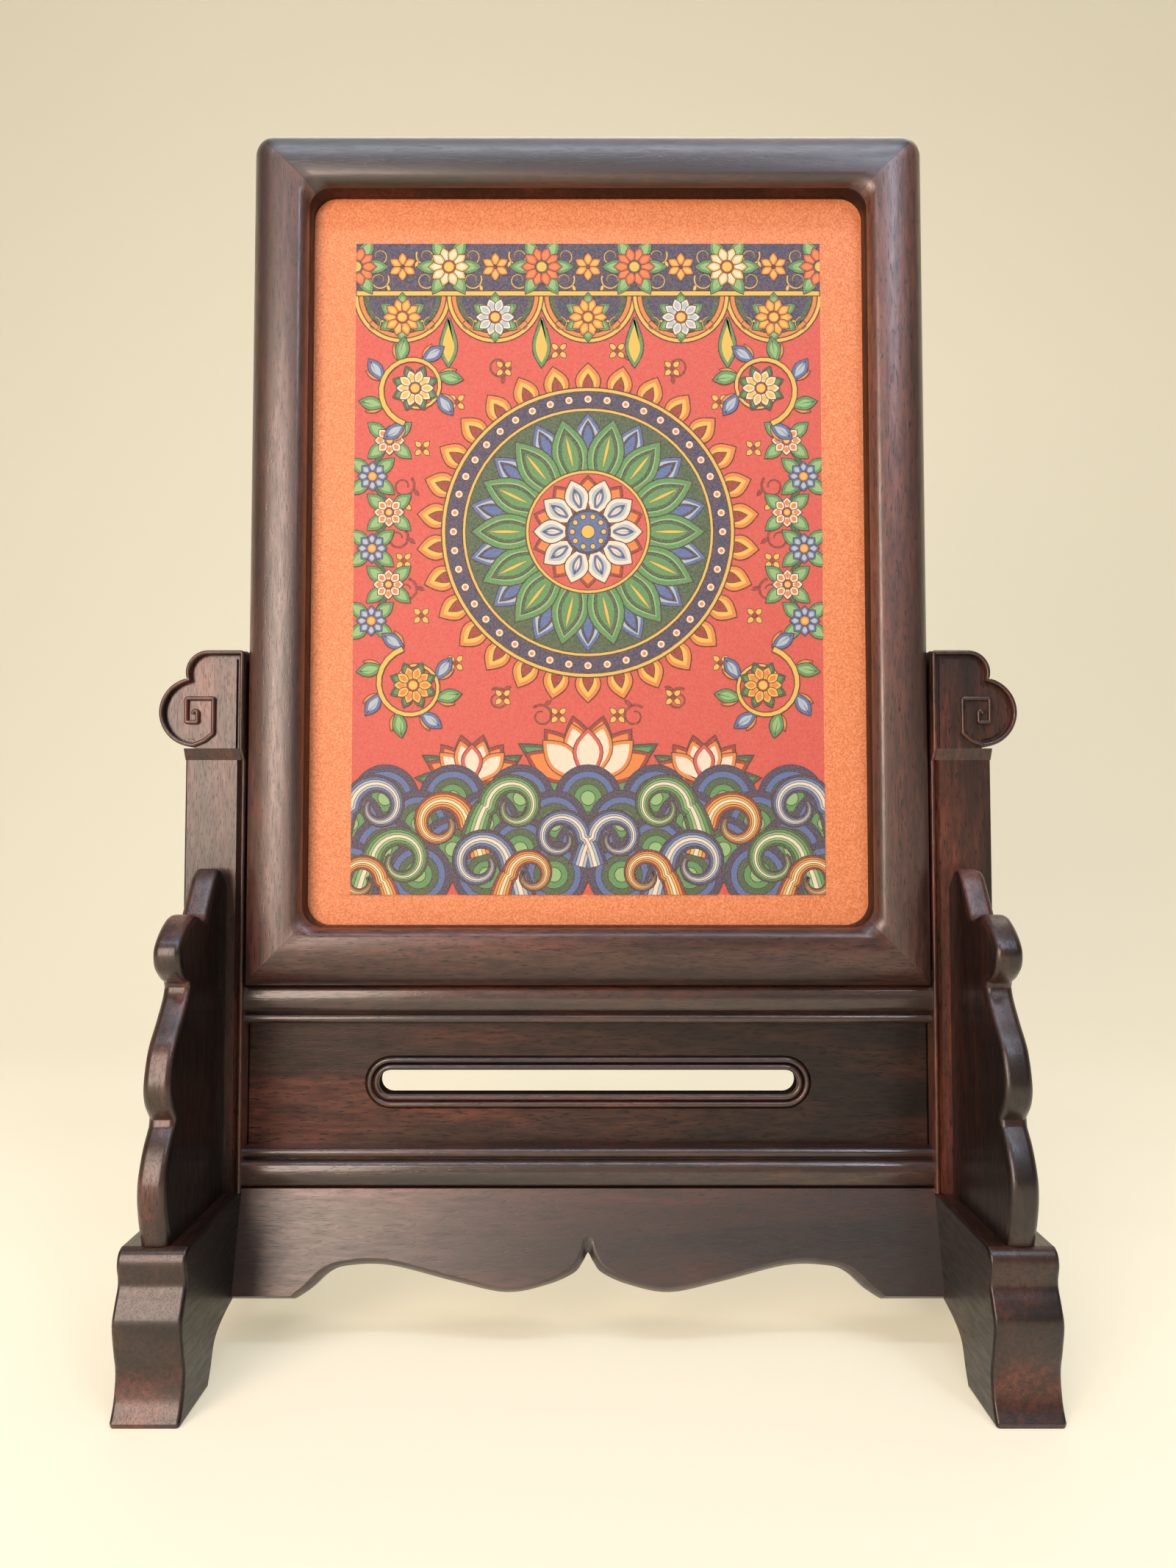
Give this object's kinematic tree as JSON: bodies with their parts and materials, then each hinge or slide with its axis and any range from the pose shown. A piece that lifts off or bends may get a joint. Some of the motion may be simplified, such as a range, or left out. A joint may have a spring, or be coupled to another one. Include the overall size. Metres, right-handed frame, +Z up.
{
  "type": "table screen",
  "caption": "Carved hardwood table screen: a framed picture plate that lifts out of a stand with grooved posts, scrolled spandrels, slotted waist panel and shoe feet.",
  "frame": {"origin": "on the table, under the middle of the base", "axes": "+Z up, +X to the viewer's right, -Y out of the front of the picture"},
  "size_m": [0.299, 0.132, 0.4248],
  "materials": {
    "rosewood": "dark rosewood, waxed to a satin polish, fine dark pores",
    "plain_wood": "plain planed wood",
    "orange_plate": "bead-blasted and anodised orange, fine sparkling grain",
    "printed_picture": "colour print in red, green, navy, yellow and white over the grained plate",
    "brad_brass": "dull brass"
  },
  "bodies": {
    "stand": {"foot_left": "rosewood", "foot_right": "rosewood", "post_left": "rosewood", "post_right": "rosewood", "spandrel_front_left": "rosewood", "spandrel_front_right": "rosewood", "spandrel_rear_left": "rosewood", "spandrel_rear_right": "rosewood", "upper_rail": "rosewood", "lower_rail": "rosewood", "waist_panel": "rosewood", "apron_front": "rosewood", "apron_rear": "rosewood"},
    "screen": {"frame_stile_left": "rosewood", "frame_stile_right": "rosewood", "frame_rail_top": "rosewood", "frame_rail_bottom": "rosewood", "mitre_tenons": "plain_wood", "picture_plate": "orange_plate", "picture_print": "printed_picture", "back_board": "plain_wood", "stick_left": "rosewood", "stick_right": "rosewood", "stick_top": "rosewood", "stick_bottom": "rosewood", "brads": "brad_brass"}
  },
  "joints": [
    {"name": "screen_lift", "type": "slide", "parent": "stand", "child": "screen", "axis": [0, 0, 1], "range_m": [0, 0.12]}
  ]
}
